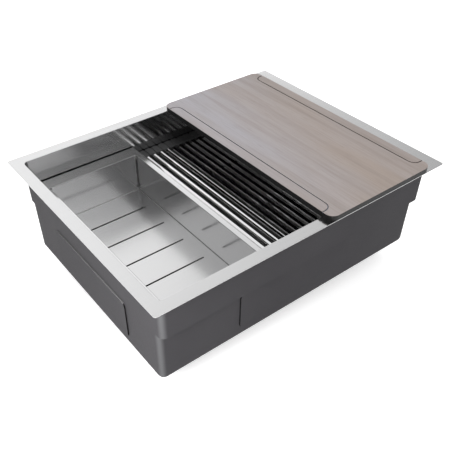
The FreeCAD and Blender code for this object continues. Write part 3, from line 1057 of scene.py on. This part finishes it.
thread = thread_rule()
strainer_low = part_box("strainer_body")[0]
nut_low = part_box("lock_nut")[0]
for name, radius, low, high in (
    ("cup_thread", cup_radius, cup_bottom, nut_low.z),
    ("outlet_thread", outlet_radius, strainer_low.z, cup_bottom),
):
    height = high - low - 2 * thread_pitch
    inputs = {
        "start": (0, 0, low + thread_pitch), "turns": height / thread_pitch, "height": height,
        "radius": radius + ridge_rise - ridge_size, "ridge": ridge_size, "finish": drain_steel,
    }
    piece = by_rule(name, thread, **inputs)
    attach(piece, body_of_node["strainer_body"])
    print(piece.name, len(piece.data.polygons), "faces")

# %% [markdown]
# ## Floor and light
# Steel shows its surroundings, so the surround is as much a part of the look as the metal. The
# studio has a wide bright window at the back, which flat steel mirrors, and a large soft box above
# the front, which the back walls show after a second bounce. It is dim to the front right, so
# those walls darken to the right. The floor is a light table that glows, so it stays white and its
# shadow stays pale.

# %% Floor
floor_reach = 12.0
floor_gap = 0.02 * mm
floor_tone = 0.9
floor_glow = 0.55
floor_level = cad_low.z - floor_gap
corners = [
    (x_side * floor_reach, y_side * floor_reach, floor_level)
    for x_side, y_side in ((-1, -1), (1, -1), (1, 1), (-1, 1))
]
floor_mesh = bpy.data.meshes.new("floor")
floor_mesh.from_pydata(corners, [], [(0, 1, 2, 3)])
floor = new_piece("floor", floor_mesh)
floor_finish = new_finish(
    "floor", Base_Color=grey(floor_tone), Roughness=0.9, Specular_IOR_Level=0.1,
    Emission_Color=grey(1.0), Emission_Strength=floor_glow,
)[0]
floor_mesh.materials.append(floor_finish)

print("Floor:", floor_reach * 2, "m wide")

# %% [markdown]
# ## Surround and lamps
# The surround is painted on the world by direction: an area is bright near its middle, and fades by
# the angle from it. The window is a little dimmer to its left, so the folds and edges that look
# that way are darker. A band of light round the horizon lets the steel read as steel from behind.
# Two soft lamps light the matt pieces and are hidden from the steel: one over the board, and one
# low at the front left corner.


# %% Surround helpers
def way_to(azimuth, elevation):
    """The direction to a place in the surround: azimuth from the back towards the right, in degrees."""
    turn = math.radians(azimuth)
    rise = math.radians(elevation)
    return Vector((math.sin(turn) * math.cos(rise), math.cos(turn) * math.cos(rise), math.sin(rise)))


def likeness(tree, way):
    """How far a direction of the surround points along another one, from -1 to 1."""
    return reach_along(tree, add_node(tree, "ShaderNodeTexCoord").outputs["Generated"], way)


def bright_area(tree, middle_way, levels):
    """A bright area of the surround: levels at angles from its middle, from 0 to 180 degrees."""
    closeness = likeness(tree, middle_way)
    angle = add_node(tree, "ShaderNodeMath", {0: closeness}, operation="ARCCOSINE").outputs[0]
    ramp = add_node(tree, "ShaderNodeValToRGB", {"Fac": remap(tree, angle, 0, 1, 0, math.pi)})
    stops = ramp.color_ramp.elements
    stops[1].color = grey(levels[-1][1])
    stops[0].color = grey(levels[0][1])
    for degrees, level in levels[1:-1]:
        stops.new(degrees / 180).color = grey(level)
    return ramp.outputs["Color"]


print("Helpers for the surround are ready")

# %% Surround
window_way = way_to(8, 32)
window_levels = (
    (0, 1.2), (15, 1.12), (22, 1.02), (30, 0.84), (40, 0.68), (60, 0.25), (85, 0.06), (180, 0.04)
)
right_of_window = way_to(95, 0)
left_level = 0.85
left_fade = (-0.05, 0.1)
front_way = way_to(172, 62)
front_levels = ((0, 1.3), (23, 1.3), (30, 0.05), (45, 0.0), (180, 0.0))
straight_up = way_to(0, 90)
horizon_level = 0.6
horizon_fade = (0.3, 0.45)

world = bpy.data.worlds.new("studio")
world.use_nodes = True
bpy.context.scene.world = world
surround = world.node_tree
window = bright_area(surround, window_way, window_levels)
dimming = remap(surround, likeness(surround, right_of_window), left_level, 1, *left_fade)
front_box = bright_area(surround, front_way, front_levels)
horizon = remap(surround, likeness(surround, straight_up), horizon_level, 0, *horizon_fade)
light = vector_math(surround, "SCALE", {0: window, "Scale": dimming})
light = vector_math(surround, "ADD", {0: light, 1: front_box})
light = vector_math(surround, "ADD", {0: light, 1: horizon})
surround.links.new(light, surround.nodes["Background"].inputs["Color"])
bpy.context.scene.view_settings.view_transform = "Standard"
print("Surround:", len(surround.nodes), "nodes")


# %% Lamps
def soft_lamp(name, place, aim_at, size, power):
    """A soft square lamp that the steel doesn't mirror."""
    data = bpy.data.lights.new(name, "AREA")
    data.size = size
    data.energy = power
    lamp = bpy.data.objects.new(name, data)
    lamp.location = place
    lamp.rotation_euler = (Vector(aim_at) - Vector(place)).to_track_quat("-Z", "Y").to_euler()
    lamp.visible_glossy = False
    lamp.visible_camera = False
    bpy.context.scene.collection.objects.link(lamp)
    print(name, "lamp:", power, "W")


soft_lamp("board", place=(0.2, 0.4, 3.0), aim_at=(0.1, 0, 0.2), size=2.0, power=28)
soft_lamp("corner", place=(-0.66, -0.40, 0.46), aim_at=(-0.335, -0.2, 0.15), size=0.25, power=3.2)
